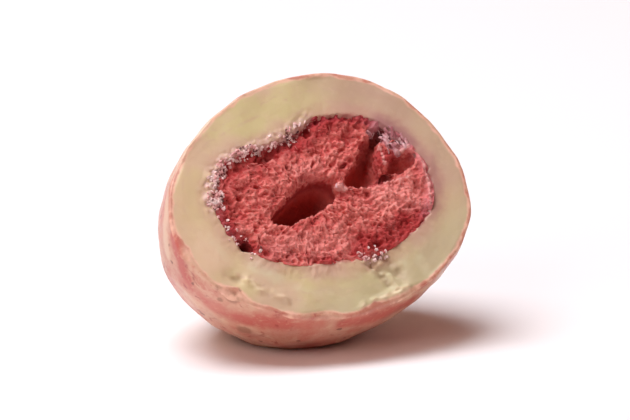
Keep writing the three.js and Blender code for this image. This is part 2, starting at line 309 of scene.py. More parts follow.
def on_stretches(stretches, direction):
    """How thickly something lies in a direction, from 0 to 1, with soft ends to its stretches."""
    share = np.zeros_like(direction)
    for start, end, thickness in stretches:
        middle, half = math.radians((start + end) / 2), math.radians((end - start) / 2)
        away = np.abs((direction - middle + math.pi) % (2 * math.pi) - math.pi)
        share = np.maximum(share, thickness * smooth_step(half + 0.08, half - 0.08, away))
    return share


def face_relief(points):
    """Height of the cut chocolate: the knife's waves and strokes, and what clings by the fruit.

    The knife dragged shreds of the fruit outwards below it. Along the frost the border is lumpy.
    """
    across, up = points[:, 0], points[:, 1]
    direction, from_border = round_fruit(points)
    waves = 0.06 * np.sin(0.55 * across + 0.8 * up) + 0.04 * np.sin(1.3 * across - 0.5 * up + 1)
    grain = 0.016 * fractal(points, 0.7) + 0.04 * fractal(points, 2.4)
    rays = np.stack((25 * np.cos(direction), 25 * np.sin(direction), 0.8 * from_border), -1)
    below = smooth_step(0.2, -0.8, np.sin(direction))
    drag = 0.05 * fractal(rays, 1.0, 2) * np.exp(-((from_border - 0.4) / 0.8) ** 2) * (0.3 + below)
    frost = on_stretches(FROST_STRETCHES, direction) * np.exp(-((from_border - 0.2) / 0.6) ** 2)
    lumps = 0.22 * frost * np.clip(fractal(points + 40, 0.5, 2) + 0.2, -0.5, 1)
    broken = np.clip(0.9 + 0.9 * fractal(points + 80, 0.9, 2), 0.2, 1.5)
    return waves + grain + drag + lumps + broken * strokes_height(FACE_STROKES, across, up)


def lay_down(points):
    """From millimetres on the cut to metres in the frame. What would be below the floor is flat on it."""
    points = np.asarray(points)
    laid = (MIDDLE + points @ np.stack((ACROSS, UP, OUT))) * MM
    laid[..., 2] = np.maximum(laid[..., 2], 0)
    return laid


# ---------------------------------------------------------------- nodes

class Wire:
    """A node's output. Arithmetic on it adds Math or Vector Math nodes."""

    def __init__(self, tree, socket):
        self.tree, self.socket = tree, socket

    def maths(self, operation, *others, flipped=False):
        kind = "ShaderNodeVectorMath" if self.socket.type in ("VECTOR", "RGBA") else "ShaderNodeMath"
        values = (*others, self) if flipped else (self, *others)
        if any(isinstance(other, Wire) and other.socket.type == "VECTOR" for other in others):
            kind = "ShaderNodeVectorMath"
        return self.tree.node(kind, {"operation": operation}, dict(enumerate(values)))

    def __add__(self, other):
        return self.maths("ADD", other)

    def __sub__(self, other):
        return self.maths("SUBTRACT", other)

    def __rsub__(self, other):
        return self.maths("SUBTRACT", other, flipped=True)

    def __mul__(self, other):
        return self.maths("MULTIPLY", other)

    def __truediv__(self, other):
        return self.maths("DIVIDE", other)

    __radd__ = __add__
    __rmul__ = __mul__

    def step(self, low, high):
        """0 below low and 1 above high, smooth between. low may be the higher: then it falls."""
        settings = {"interpolation_type": "SMOOTHSTEP"}
        values = {"Value": self, "From Min": low, "From Max": high}
        return self.tree.node("ShaderNodeMapRange", settings, values)


class Tree:
    """Adds nodes to a material's or a modifier's tree."""

    def __init__(self, tree):
        self.tree = tree

    def node(self, kind, settings=None, values=None, output=0):
        """A new node of a type, its settings, then its inputs by index or name. Gives one output."""
        made = self.tree.nodes.new(kind)
        for name, value in (settings or {}).items():
            setattr(made, name, value)
        for key, value in (values or {}).items():
            socket = made.inputs[key]
            if isinstance(value, Wire):
                self.tree.links.new(value.socket, socket)
            elif socket.type == "VECTOR" and isinstance(value, (int, float)):
                socket.default_value = (value,) * 3
            else:
                socket.default_value = value
        return Wire(self, made.outputs[output]) if made.outputs else made

    def mix(self, factor, first, second, blend="MIX"):
        """From the first colour to the second."""
        settings = {"data_type": "RGBA", "blend_type": blend}
        return self.node("ShaderNodeMix", settings, {0: factor, 6: first, 7: second}, output=2)

    def noise(self, place, scale, detail=2.0, roughness=0.5, distortion=0.0, output="Fac"):
        """Noise from 0 to 1, with about this many waves to a millimetre. Color has three of them."""
        values = {"Vector": place, "Scale": scale, "Detail": detail, "Roughness": roughness}
        values["Distortion"] = distortion
        return self.node("ShaderNodeTexNoise", {}, values, output=output)

    def cells(self, place, scale, feature="F1", output="Distance"):
        values = {"Vector": place, "Scale": scale}
        return self.node("ShaderNodeTexVoronoi", {"feature": feature}, values, output=output)

    def vector(self, x, y, z):
        return self.node("ShaderNodeCombineXYZ", {}, {0: x, 1: y, 2: z})


def colour(red, green, blue):
    """A colour seen on a screen, 0 to 255, as the shader's linear one."""
    def linear(value):
        share = value / 255
        return share / 12.92 if share <= 0.04045 else ((share + 0.055) / 1.055) ** 2.4
    return (linear(red), linear(green), linear(blue), 1.0)


class Finish(Tree):
    """A material with one Principled shader. Constants go on its sockets, what varies is linked."""

    def __init__(self, name, **constants):
        self.material = bpy.data.materials.new(name)
        self.material.use_nodes = True
        super().__init__(self.material.node_tree)
        self.shader = self.tree.nodes["Principled BSDF"]
        for socket, value in constants.items():
            self.shader.inputs[socket.replace("_", " ")].default_value = value
        self.millimetres = self.node("ShaderNodeTexCoord", output="Object") * 1000

    def attribute(self, name):
        return self.node("ShaderNodeAttribute", {"attribute_name": name}, output="Fac")

    def set(self, **links):
        for socket, wire in links.items():
            self.tree.links.new(wire.socket, self.shader.inputs[socket.replace("_", " ")])

    def bump(self, height, depth):
        """Fine relief: a height from 0 to 1, this many millimetres deep."""
        values = {"Height": height, "Distance": depth * MM, "Strength": 1.0}
        self.set(Normal=self.node("ShaderNodeBump", {}, values))


class Shaper(Tree):
    """A Geometry Nodes tree with named inputs, which takes a geometry and gives one back."""

    def __init__(self, name, **sizes):
        super().__init__(bpy.data.node_groups.new(name, "GeometryNodeTree"))
        self.sizes = sizes
        face = self.tree.interface
        face.new_socket("Geometry", in_out="INPUT", socket_type="NodeSocketGeometry")
        face.new_socket("Geometry", in_out="OUTPUT", socket_type="NodeSocketGeometry")
        for size, value in sizes.items():
            kind = "NodeSocketInt" if isinstance(value, int) else "NodeSocketFloat"
            face.new_socket(size.replace("_", " "), in_out="INPUT", socket_type=kind)
        self.group = self.tree.nodes.new("NodeGroupInput")
        self.geometry = Wire(self, self.group.outputs["Geometry"])

    def size(self, name):
        return Wire(self, self.group.outputs[name.replace("_", " ")])

    def random(self, low, high, seed):
        """A number drawn for each point."""
        values = {2: low, 3: high, "Seed": seed}
        return self.node("FunctionNodeRandomValue", {"data_type": "FLOAT"}, values, output=1)

    def named(self, name):
        return self.node("GeometryNodeInputNamedAttribute", {"data_type": "FLOAT"}, {"Name": name})

    def joined(self, *geometries):
        join = self.tree.nodes.new("GeometryNodeJoinGeometry")
        for geometry in geometries:
            self.tree.links.new(geometry.socket, join.inputs[0])
        return Wire(self, join.outputs[0])

    def stored(self, geometry, name, value):
        settings = {"data_type": "FLOAT", "domain": "POINT"}
        values = {"Geometry": geometry, "Name": name, "Value": value}
        return self.node("GeometryNodeStoreNamedAttribute", settings, values)

    def finish(self, geometry, material):
        """Ends the tree: instances are made real, and the material is set."""
        real = self.node("GeometryNodeRealizeInstances", {}, {"Geometry": geometry})
        dressed = self.node("GeometryNodeSetMaterial", {}, {"Geometry": real, "Material": material})
        output = self.tree.nodes.new("NodeGroupOutput")
        self.tree.links.new(dressed.socket, output.inputs[0])

    def apply(self, name, carrier, **changed):
        """What the tree makes of the carrier, as a plain mesh piece. The carrier is removed."""
        modifier = carrier.modifiers.new(name, "NODES")
        modifier.node_group = self.tree
        values = {size.replace("_", " "): value for size, value in {**self.sizes, **changed}.items()}
        for item in self.tree.interface.items_tree:
            if item.in_out == "INPUT" and item.name in values:
                modifier[item.identifier] = values[item.name]
        return made_real(name, carrier)


# ---------------------------------------------------------------- meshes

def new_piece(name, mesh):
    piece = bpy.data.objects.new(name, mesh)
    bpy.context.scene.collection.objects.link(piece)
    return piece


def made_real(name, carrier):
    """The carrier with its modifiers applied, as a new mesh piece. The carrier is removed."""
    bpy.context.view_layer.update()
    graph = bpy.context.evaluated_depsgraph_get()
    mesh = bpy.data.meshes.new_from_object(
        carrier.evaluated_get(graph), preserve_all_data_layers=True, depsgraph=graph)
    mesh.name = name
    bpy.data.objects.remove(carrier)
    return new_piece(name, mesh)


def set_attribute(mesh, name, values):
    mesh.attributes.new(name, "FLOAT", "POINT").data.foreach_set("value", np.asarray(values, np.float32))


def ring_mesh(name, points, around):
    """A closed mesh from one point, rings of so many points, and one last point."""
    last = len(points) - 1
    step = np.arange(around)
    after = (step + 1) % around
    faces = np.stack((0 * step, 1 + after, 1 + step), -1).tolist()
    for start in range(1, last - around, around):
        corners = (start + step, start + after, start + around + after, start + around + step)
        faces += np.stack(corners, -1).tolist()
    faces += np.stack((0 * step + last, last - around + step, last - around + after), -1).tolist()
    mesh = bpy.data.meshes.new(name)
    mesh.from_pydata(points.tolist(), [], faces)
    mesh.shade_smooth()
    return mesh


# ---------------------------------------------------------------- the chocolate

def coating_mesh():
    """The ball's skin from its back to the rim, over the rim, across the cut and into the cavity.

    rim_distance is the way in from the rim, below 0 on the skin. from_border is the way out from
    the fruit's outline on the cut. stroke is the height of the strokes on the cut, paler its pale
    patches, frost how thickly frost lies in that direction, powder and spots what the skin has of
    them, and the streaks along the rim how much painted highlight lies there.
    """
    turn = np.linspace(0, 2 * math.pi, AROUND, endpoint=False)
    direction = turn + LONG_AXIS_LEAN
    rings, rim_distance = [], []

    def add(points, from_rim):
        rings.append(points)
        rim_distance.append(np.broadcast_to(from_rim, turn.shape))

    drop = rim_drop(turn)
    skin_end = polar_at(turn, CUT_OUT - drop)
    for row in range(1, SKIN_ROWS + 1):
        share = row / SKIN_ROWS
        polar = math.pi + (skin_end - math.pi) * share
        points = ball_points(turn, polar)
        fade = smooth_step(0, 0.04, 1 - share)
        lumps = 1 + (PAN_LUMP * fade * fractal(points, PAN_LUMP_LENGTH)) / HALF_DEPTH
        add(points * lumps[:, None], -(polar - skin_end) * HALF_DEPTH)

    corner = ball_points(turn, polar_at(turn, np.full_like(turn, CUT_OUT)))
    inner = corner * (1 - drop / np.linalg.norm(corner[:, :2], axis=1))[:, None]
    inner[:, 2] = CUT_OUT
    for row in range(1, RIM_ROWS):
        share = row / RIM_ROWS
        start = rings[SKIN_ROWS - 1] + (corner - rings[SKIN_ROWS - 1]) * share
        end = corner + (inner - corner) * share
        add(start + (end - start) * share, 0)

    level = on_sphere(direction, np.full_like(turn, math.pi / 2))
    wobble = 0.2 * fractal(9 * level, 1.8) + 0.25 * fractal(9 * level, 0.55, 2)
    from_hole = np.degrees(direction) - BORDER_HOLE["direction"]
    wobble += BORDER_HOLE["step_back"] * np.exp(-(from_hole / BORDER_HOLE["spread"]) ** 2)
    lip = berry_wall(direction, 0, CAVITY_GAP - LIP_REACH + wobble)
    width = np.linalg.norm(inner - lip, axis=1)
    for row in range(FACE_ROWS + 1):
        share = row / FACE_ROWS
        points = inner + (lip - inner) * share
        points[:, 2] += face_relief(points) * smooth_step(0, 0.5, share * width)
        points[:, 2] -= LIP_DROP * smooth_step(0.4, 0, (1 - share) * width)
        add(points, share * width)

    for row in range(1, CAVITY_ROWS):
        share = 0.1 + 0.9 * math.sin(row / CAVITY_ROWS * math.pi / 2)
        add(berry_wall(direction, share, CAVITY_GAP), width)

    first = ball_points(0.0, math.pi)
    last = berry_wall(np.array(0.0), 1.0, CAVITY_GAP)
    points = np.concatenate((first[None], *rings, last[None]))
    rim_distance = np.concatenate(([-HALF_DEPTH], *rim_distance, [HALF_DEPTH]))
    round_middle, from_border = round_fruit(points)
    on_face = (rim_distance > 0) & (points[:, 2] > CUT_OUT - 1)
    mesh = ring_mesh("coating", lay_down(points), AROUND)
    set_attribute(mesh, "rim_distance", rim_distance)
    set_attribute(mesh, "from_border", np.where(rim_distance > 0, from_border, HALF_DEPTH))
    for name, stretches in (("frost", FROST_STRETCHES), ("film", FILM_STRETCHES)):
        set_attribute(mesh, name, on_stretches(stretches, round_middle) * on_face)
    for name, strokes in (("stroke", FACE_STROKES), ("paler", PALE_PATCHES)):
        set_attribute(mesh, name, strokes_height(strokes, points[:, 0], points[:, 1]) * on_face)
    for name, streaks in (("powder", POWDER_STREAKS), ("rim_highlight", RIM_HIGHLIGHT_STREAKS)):
        set_attribute(mesh, name, streaks_on_skin(streaks, points))
    set_attribute(mesh, "spots", spots_on_skin(points))
    return mesh


def chocolate_finish():
    """White chocolate: cream on the cut, marbled with pink strawberry powder outside."""
    finish = Finish(
        "white_chocolate", Subsurface_Weight=0.12, Subsurface_Radius=(1.0, 0.55, 0.3),
        Subsurface_Scale=0.8 * MM, Coat_Roughness=0.22, Coat_IOR=1.45,
    )
    place = finish.millimetres
    rim = finish.attribute("rim_distance")
    ragged = rim + finish.noise(place, 0.8, 3) * 0.9 - 0.5
    skin = ragged.step(0.16, -0.1)
    finish.set(
        Base_Color=finish.mix(skin, cut_colour(finish, place, rim), skin_colour(finish, place)),
        Roughness=0.55 - skin * 0.12 + finish.noise(place, 1.5, 3) * 0.1,
        Coat_Weight=skin * 0.4,
    )
    finish.bump(finish.noise(place, 2.2, 3) * 0.6 + finish.noise(place, 9, 2) * 0.15, 0.03)
    return finish.material


def skin_colour(finish, place):
    """Clouds of pink powder on cream, redder blotches and streaks, fine speckle and dark specks."""
    cream, peach = colour(218, 178, 147), colour(203, 139, 117)
    coral, red, speck = colour(194, 96, 82), colour(162, 56, 50), colour(116, 50, 38)
    drift = place + finish.noise(place, 0.25, 3, output="Color") * 5
    clouds = finish.noise(drift, 0.17, 4, 0.62).step(0.34, 0.62)
    patches = finish.noise(drift + 31, 0.3, 5, 0.65).step(0.46, 0.7)
    blotches = finish.noise(drift + 57, 0.62, 4, 0.6)
    powder = finish.attribute("powder") * (finish.noise(place, 0.9, 3) + 0.5)
    marbled = finish.mix(clouds, cream, peach)
    marbled = finish.mix((patches * 0.8).maths("MAXIMUM", powder.step(0.2, 0.9)), marbled, coral)
    marbled = finish.mix(blotches.step(0.59, 0.72) * 0.8, marbled, red)
    marbled = finish.mix(blotches.step(0.68, 0.8) * 0.6, marbled, colour(140, 40, 38))
    marbled = finish.mix(finish.noise(place, 3.0, 3, 0.65).step(0.5, 0.75) * 0.35, marbled, coral)
    marbled = finish.mix(finish.noise(place + 7, 2.1, 3, 0.65).step(0.52, 0.75) * 0.4, marbled, cream)
    # Painted highlight: paler cream along the top and left of the rim, where the rim streaks lie
    rim_highlight = finish.attribute("rim_highlight") * (finish.noise(place, 1.2, 3) + 0.5)
    marbled = finish.mix(rim_highlight.step(0.25, 0.8) * 0.85, marbled, colour(222, 187, 156))
    spots = (finish.attribute("spots") + finish.noise(place, 1.6, 2) * 0.5 - 0.25).step(0.15, 0.65)
    marbled = finish.mix(spots * 0.7, marbled, colour(146, 90, 64))
    wandering = place + finish.noise(place, 1.8, 3, output="Color") * 0.7
    chosen = finish.cells(wandering, 0.7, output="Color").step(0.56, 0.7)
    size = finish.noise(place + 3, 0.5).step(0.3, 0.7)
    dots = (finish.cells(wandering, 0.7) - size * 0.08).step(0.17, 0.06)
    return finish.mix(dots * chosen * 0.8, marbled, speck)


def cut_colour(finish, place, rim):
    """Cream with soft smears, pink and mauve by the fruit, peach under the skin. Painted light makes it
    lighter on the left; painted shade darkens it to the upper right, in the grooves and partly in a band by
    the fruit; raised chips get a painted highlight.
    """
    plain, yellow, rose = colour(210, 181, 149), colour(206, 190, 138), colour(199, 163, 141)
    border = finish.attribute("from_border")
    across, up, _ = on_cut(finish, place * MM)
    smears = finish.noise(finish.vector(border * 1.3, finish.noise(place, 0.3) * 7, 0.0), 1.0, 3, 0.6)
    cut = finish.mix(finish.noise(place + 11, 0.2, 2).step(0.38, 0.62), plain, yellow)
    cut = finish.mix(smears.step(0.5, 0.75) * 0.5, cut, rose)
    cut = finish.mix((across + up * 0.4).step(2.0, 12.0) * 0.5, cut, rose)
    # Painted shade: darker towards the upper right, where the light falls off
    cut = finish.mix((across + up).step(10.0, 15.0) * 0.5, cut, colour(186, 154, 130))
    cut = finish.mix((across * 0.5 - up).step(6.5, 11.5) * 0.7, cut, colour(188, 177, 138))
    # Painted light: lighter towards the left, where the light comes from
    cut = finish.mix(across.step(-7.0, -13.0) * 0.5, cut, colour(222, 190, 154))
    cut = finish.mix(finish.noise(place + 3, 0.9, 3, 0.6).step(0.5, 0.8) * 0.3, cut, colour(220, 196, 160))

    patchy = finish.attribute("paler") * (finish.noise(place, 1.3, 3) + 0.5)
    cut = finish.mix(patchy.step(0.25, 0.9) * 0.6, cut, colour(214, 204, 166))

    # Painted shade darkens the grooves, and a painted highlight lightens the raised chips and flakes
    stroke = finish.attribute("stroke") * (finish.noise(place, 1.5, 3) + 0.5)
    cut = finish.mix(stroke.step(-0.05, -0.3) * 0.4, cut, colour(160, 132, 104))
    cut = finish.mix(stroke.step(0.1, 0.35) * 0.7, cut, colour(228, 206, 170))

    ragged = border + (finish.noise(place, 1.1, 3) - 0.5) * 1.2
    # A darker pinkish band by the fruit: partly stain from the fruit, partly painted shade where the
    # chocolate dips to it
    cut = finish.mix(ragged.step(1.9, 0.2) * 0.5, cut, colour(192, 142, 126))
    cut = finish.mix(ragged.step(0.1, -0.4) * 0.75, cut, colour(166, 84, 80))
    dusted = finish.attribute("frost") * ragged.step(1.0, 0.3) * finish.noise(place, 1.8, 3).step(0.35, 0.6)
    cut = finish.mix(dusted * 0.7, cut, colour(216, 180, 170))
    veiled = finish.attribute("film") * ragged.step(1.3, 0.1)
    cut = finish.mix(veiled * 0.85, cut, colour(164, 110, 108))
    powder = (rim + finish.noise(place, 1.1, 3) * 0.5).step(0.62, 0.3)
    return finish.mix(powder * 0.8, cut, colour(242, 190, 166))


# ---------------------------------------------------------------- the strawberry

def on_cut(tree, position):
    """Across, up and out (from the cut) in millimetres, worked out in a node tree."""
    local = position * (1 / MM) - tuple(MIDDLE)
    settings = {"operation": "DOT_PRODUCT"}
    across, up, out = (
        tree.node("ShaderNodeVectorMath", settings, {0: local, 1: tuple(axis)}, output="Value")
        for axis in (ACROSS, UP, OUT)
    )
    return across, up, out - CUT_OUT


def with_modifiers(name, piece, *modifiers):
    """The piece with each modifier's type and settings applied in turn."""
    for kind, settings in modifiers:
        added = piece.modifiers.new(kind.lower(), kind)
        for setting, value in settings.items():
            setattr(added, setting, value)
    return made_real(name, piece)


def cut_places(mesh):
    """Every point of the mesh as across, up and out (from the middle) in millimetres."""
    points = np.empty(3 * len(mesh.vertices), np.float32)
    mesh.vertices.foreach_get("co", points)
    return (points.reshape(-1, 3) / MM - MIDDLE) @ np.stack((ACROSS, UP, OUT)).T


def flesh_block():
    """The fruit's solid in even small faces. from_border is below 0 inside its outline, and frost,
    film, pale, dark, redder and pinker are how much of each there is in a direction or at a place.
    """
    block = with_modifiers(
        "flesh_block",
        new_piece("fruit_solid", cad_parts["freeze_dried_strawberry"].data.copy()),
        ("WELD", {"merge_threshold": 0.001 * MM}),
        ("REMESH", {"mode": "VOXEL", "voxel_size": FLESH_VOXEL * MM, "use_smooth_shade": True}),
        ("SMOOTH", {"factor": 0.5, "iterations": 4}),
    )
    points = cut_places(block.data)
    direction, from_border = round_fruit(points)
    set_attribute(block.data, "from_border", from_border)
    set_attribute(block.data, "frost", on_stretches(FROST_STRETCHES, direction))
    set_attribute(block.data, "film", on_stretches(FILM_STRETCHES, direction))
    marks = {"pale": PALE_MARKS, "dark": CLEFT_AND_SHADE_MARKS, "redder": RED_MARKS, "pinker": PINK_MARKS}
    for name, strokes in marks.items():
        set_attribute(block.data, name, strokes_height(strokes, points[:, 0], points[:, 1]))
    return block


def thin_hidden_wall(piece):
    """Takes faces out of the fruit's side and back, which the chocolate covers. share is how far
    down its side a point is, and drawn_in how much narrower the fruit is there than at the cut.
    """
    hidden = piece.vertex_groups.new(name="hidden")
    points = cut_places(piece.data)
    out = points[:, 2] - CUT_OUT
    direction, outside = round_fruit(points)
    share = np.clip(-out / BERRY_DEPTH, 0, 1)
    drawn_in = berry_radius(direction) * (1 - (1 - share ** BERRY_FULLNESS) ** (1 / BERRY_FULLNESS))
    at_side = outside > -0.3 - drawn_in
    covered = np.flatnonzero((out < -COVERED_BELOW) & (at_side | (out < -BACK_BELOW)))
    hidden.add(covered.tolist(), 1.0, "REPLACE")
    left = 1 - COVERED_THINNED * len(covered) / len(out)
    settings = {"ratio": left, "vertex_group": "hidden", "vertex_group_factor": 10.0}
    thinned = with_modifiers("strawberry", piece, ("DECIMATE", settings))
    thinned.vertex_groups.clear()
    return thinned


def torn_flesh():
    """Relief of freeze-dried flesh: lumps, and a sponge of cells that run out from the heart."""
    shaper = Shaper(
        "torn_flesh", Lump_height=0.8, Wall_height=0.2, Grain_height=0.16, Pore_depth=0.4,
        Cells_round_heart=8.5, Cells_per_millimetre=1.1,
    )
    position = shaper.node("GeometryNodeInputPosition")
    place = position * (1 / MM)
    across, up, out = on_cut(shaper, position)
    x, y = across - HEART[0], up - HEART[1]
    angle = y.maths("ARCTAN2", x)
    radius = (x * x + y * y).maths("SQRT")
    round_heart = shaper.size("Cells_round_heart")
    along = (radius + out * 0.8) * shaper.size("Cells_per_millimetre")
    ray = shaper.vector(angle.maths("COSINE") * round_heart, angle.maths("SINE") * round_heart, along)
    bent = ray + shaper.noise(place, 0.9, 2, output="Color") * 1.5

    lumps = shaper.noise(place, 0.65, 3, 0.6) - 0.5
    walls = shaper.cells(bent, 1.0, "DISTANCE_TO_EDGE").step(0.26, 0.02)
    walls = walls * shaper.noise(place + 9, 1.1).step(0.36, 0.56)
    fine = shaper.cells(place + shaper.noise(place, 2.0, output="Color") * 0.6, 1.9, "DISTANCE_TO_EDGE")
    grain = fine.step(0.3, 0.03) * 0.7 + shaper.noise(place, 2.6, 2) * 0.6 - 0.6
    pores = shaper.cells(bent * 0.6 + 20, 1.0).step(0.42, 0.08) * shaper.noise(place, 0.5).step(0.42, 0.6)
    relief = lumps * shaper.size("Lump_height") + walls * shaper.size("Wall_height")
    relief = relief + grain * shaper.size("Grain_height") - pores * shaper.size("Pore_depth")
    border = shaper.named("from_border")
    calm = shaper.named("film").step(0.5, 1.0) * border.step(-2.6, -1.6)
    relief = relief * (1.0 - calm * 0.5) + shaper.named("pale") * 0.2 - shaper.named("dark") * 0.3

    inside = border.step(0.1, -0.4)
    torn = out.step(-1.7, -0.2) * 0.8 + 0.2
    torn = torn + up.step(2.2, 4.0) * out.step(-0.2, -0.8) * out.step(-3.2, -2.4) * 0.6
    normal = shaper.node("GeometryNodeInputNormal")
    offset = normal * ((relief - 0.15) * inside * torn * MM)
    raised = shaper.node("GeometryNodeSetPosition", {}, {"Geometry": shaper.geometry, "Offset": offset})
    marked = shaper.stored(raised, "relief", relief)
    marked = shaper.stored(marked, "walls", walls)
    shaper.finish(shaper.stored(marked, "out", out), flesh_finish())
    return shaper


def flesh_finish():
    """Dry strawberry flesh: pale on the cell walls and deep red in the pores, partly painted highlight and
    painted shade; painted shade and painted light in the hollow heart, painted shade in the clefts.
    """
    finish = Finish(
        "freeze_dried_flesh", Roughness=0.85, Specular_IOR_Level=0.3, Subsurface_Weight=0.15,
        Subsurface_Radius=(1.0, 0.3, 0.25), Subsurface_Scale=0.35 * MM,
    )
    place = finish.millimetres
    border, out = finish.attribute("from_border"), finish.attribute("out")
    relief = finish.attribute("relief") + (finish.noise(place, 3.5, 3) - 0.5) * 0.3
    deep, red = colour(152, 44, 44), colour(200, 80, 76)
    coral, pale = colour(217, 112, 103), colour(230, 148, 136)
    # The colour follows the relief: deep red in the pores and pale on the walls, partly the fruit's own
    # colours and partly painted shade in the pores and painted highlight on the walls
    shade = finish.mix(relief.step(-0.4, -0.08), deep, red)
    shade = finish.mix(relief.step(-0.12, 0.14), shade, coral)
    shade = finish.mix((relief + finish.attribute("walls") * 0.1).step(0.12, 0.42) * 0.6, shade, pale)

    across, up, _ = on_cut(finish, place * MM)
    patches = finish.noise(place + 5, 0.4, 3, 0.6)
    redder = (finish.attribute("redder") * 0.4 + patches).step(0.46, 0.8)
    shade = finish.mix(redder * 0.85, shade, colour(164, 36, 38))
    pinker = (finish.attribute("pinker") * 0.5 + finish.noise(place + 8, 0.8, 3)).step(0.5, 0.95)
    shade = finish.mix(pinker * 0.5, shade, colour(240, 156, 146))

    ragged = border + (finish.noise(place, 1.2, 3) - 0.5) * 0.9
    # Painted shade: darker purplish red just inside the border on the upper left, where the flesh sits below
    # the chocolate's edge
    left = (up - across * 0.6).step(-2.0, 4.0)
    shade = finish.mix(ragged.step(-1.3, -0.2) * left * 0.6, shade, colour(148, 42, 56))
    film = finish.attribute("film")
    thin = finish.noise(place + 2, 1.3, 3).step(0.4, 0.62)
    veil = finish.mix(thin, colour(170, 98, 104), colour(198, 142, 143))
    shade = finish.mix(ragged.step(-2.3, -1.5) * film.step(0.55, 1.0) * 0.85, shade, veil)
    shade = finish.mix(ragged.step(-1.3, -0.5) * film * 0.8, shade, colour(196, 116, 122))
    dusted = finish.attribute("frost") * ragged.step(-0.9, -0.3) * finish.noise(place, 1.8, 3).step(0.36, 0.6)
    shade = finish.mix(dusted * 0.75, shade, colour(226, 174, 166))

    # Painted shade and painted light in the pits. Light reaches the left, the top and the far right best, so
    # they count as further out. Lower down the pits are painted deep red as shade, and painted lighter again
    # at the bottom, to show in the dark there
    lit = out + across.step(2.8, 1.8) * 0.4 + up.step(2.2, 3.6) * 0.6 + across.step(6.4, 7.4) * 0.5
    shade = finish.mix(lit.step(-0.35, -0.8) * 0.85, shade, colour(156, 38, 38))
    upper = across.step(2.4, 3.0) * 0.9
    shade = finish.mix((out - upper).step(-1.6, -2.8) * 0.9, shade, colour(226, 116, 108))
    # Painted shade in the clefts and along the upper left border
    shade = finish.mix(finish.attribute("dark").step(0.2, 0.8) * 0.7, shade, colour(112, 26, 28))
    streaks = finish.attribute("pale") + (finish.noise(place, 2.0, 2) - 0.5) * 0.6
    shade = finish.mix(streaks.step(0.3, 0.75) * out.step(-0.6, -0.2) * 0.7, shade, colour(232, 172, 164))
    finish.set(Base_Color=shade)
    finish.bump(finish.noise(place, 7, 3, 0.6), 0.1)
    return finish.material


# ---------------------------------------------------------------- small things

def scattered(name, grain, pieces, chance, material, spread=(1, 1, 1), lie=None, **sizes):
    """One kind of small thing set at random on the pieces, as one mesh.

    grain(shaper) makes the thing about 1 across. chance(shaper, out) is how likely it is to lie at a
    place, from 0 to 1. sizes are how many go to a square millimetre, the smallest and largest in
    millimetres, and the seed. lie is how far things that lie flat turn from the way out of the
    heart, the least and the most in radians. Without it they are turned any way at random.
    """
    shaper = Shaper(name, **sizes)
    position = shaper.node("GeometryNodeInputPosition")
    _, _, out = on_cut(shaper, position)
    grounds = (
        shaper.node("GeometryNodeObjectInfo", {}, {"Object": piece}, output="Geometry")
        for piece in pieces
    )
    density = chance(shaper, out) * shaper.size("Per_square_millimetre") / MM ** 2
    values = {"Mesh": shaper.joined(*grounds), "Density": density, "Seed": sizes["Seed"]}
    points = shaper.node("GeometryNodeDistributePointsOnFaces", {}, values)
    if lie:
        ray = position - tuple((MIDDLE + HEART[0] * ACROSS + HEART[1] * UP) * MM)
        normal = Wire(shaper, points.socket.node.outputs["Normal"])
        turn = shaper.node("FunctionNodeAxesToRotation", {}, {0: normal, 1: ray})
        spin = shaper.vector(0.0, 0.0, shaper.random(*lie, 2))
    else:
        turn = Wire(shaper, points.socket.node.outputs["Rotation"])
        settings, values = {"data_type": "FLOAT_VECTOR"}, {0: -3.0, 1: 3.0, "Seed": 3}
        spin = shaper.node("FunctionNodeRandomValue", settings, values)
    spin = shaper.node("FunctionNodeEulerToRotation", {}, {0: spin})
    turn = shaper.node("FunctionNodeRotateRotation", {"rotation_space": "LOCAL"}, {0: turn, 1: spin})
    size = shaper.random(shaper.size("Smallest") * MM, shaper.size("Largest") * MM, 5)
    stretched = shaper.vector(*(size * share for share in spread))
    values = {"Points": points, "Instance": grain(shaper), "Rotation": turn, "Scale": stretched}
    things = shaper.node("GeometryNodeInstanceOnPoints", {}, values)
    shaper.finish(things, material)
    return shaper.apply(name, new_piece(name, bpy.data.meshes.new(name)))


def crystal(shaper):
    return shaper.node("GeometryNodeMeshCube", {}, {"Size": 1.0})


def flake(shaper):
    return shaper.node("GeometryNodeMeshIcoSphere", {}, {"Radius": 0.5, "Subdivisions": 2})


def bent_strip(shaper, half_width, half_thickness):
    """A short strip bent up in the middle, with closed ends. The same both ways it is a strand."""
    values = {"Resolution": 6, "Start": (-0.5, 0, -0.05), "Middle": (0, 0.1, 0.3), "End": (0.5, -0.05, -0.05)}
    line = shaper.node("GeometryNodeCurveQuadraticBezier", {}, values)
    settings, values = {"mode": "RADIUS"}, {"Resolution": 6, "Radius": 1.0}
    circle = shaper.node("GeometryNodeCurvePrimitiveCircle", settings, values)
    values = {"Geometry": circle, "Scale": (half_width, half_thickness, 1.0)}
    section = shaper.node("GeometryNodeTransform", {}, values)
    values = {"Curve": line, "Profile Curve": section, "Fill Caps": True}
    return shaper.node("GeometryNodeCurveToMesh", {}, values)


def fibre(shaper):
    return bent_strip(shaper, 0.06, 0.06)


def shred(shaper):
    return bent_strip(shaper, 0.14, 0.035)


def near_border(shaper, out, inner, outer):
    """1 on the cut between two distances from the fruit's outline."""
    border = shaper.named("from_border")
    between = border.step(inner - 0.1, inner + 0.1) * border.step(outer + 0.1, outer - 0.1)
    return between * out.step(-1.2, -0.9)


def where_frost_lies(shaper, out):
    """In clumps along its stretches of the border."""
    place = shaper.node("GeometryNodeInputPosition") * (1 / MM)
    clumps = shaper.noise(place, 0.9, 2).step(0.42, 0.6)
    return shaper.named("frost") * clumps * near_border(shaper, out, -1.05, 0.4)


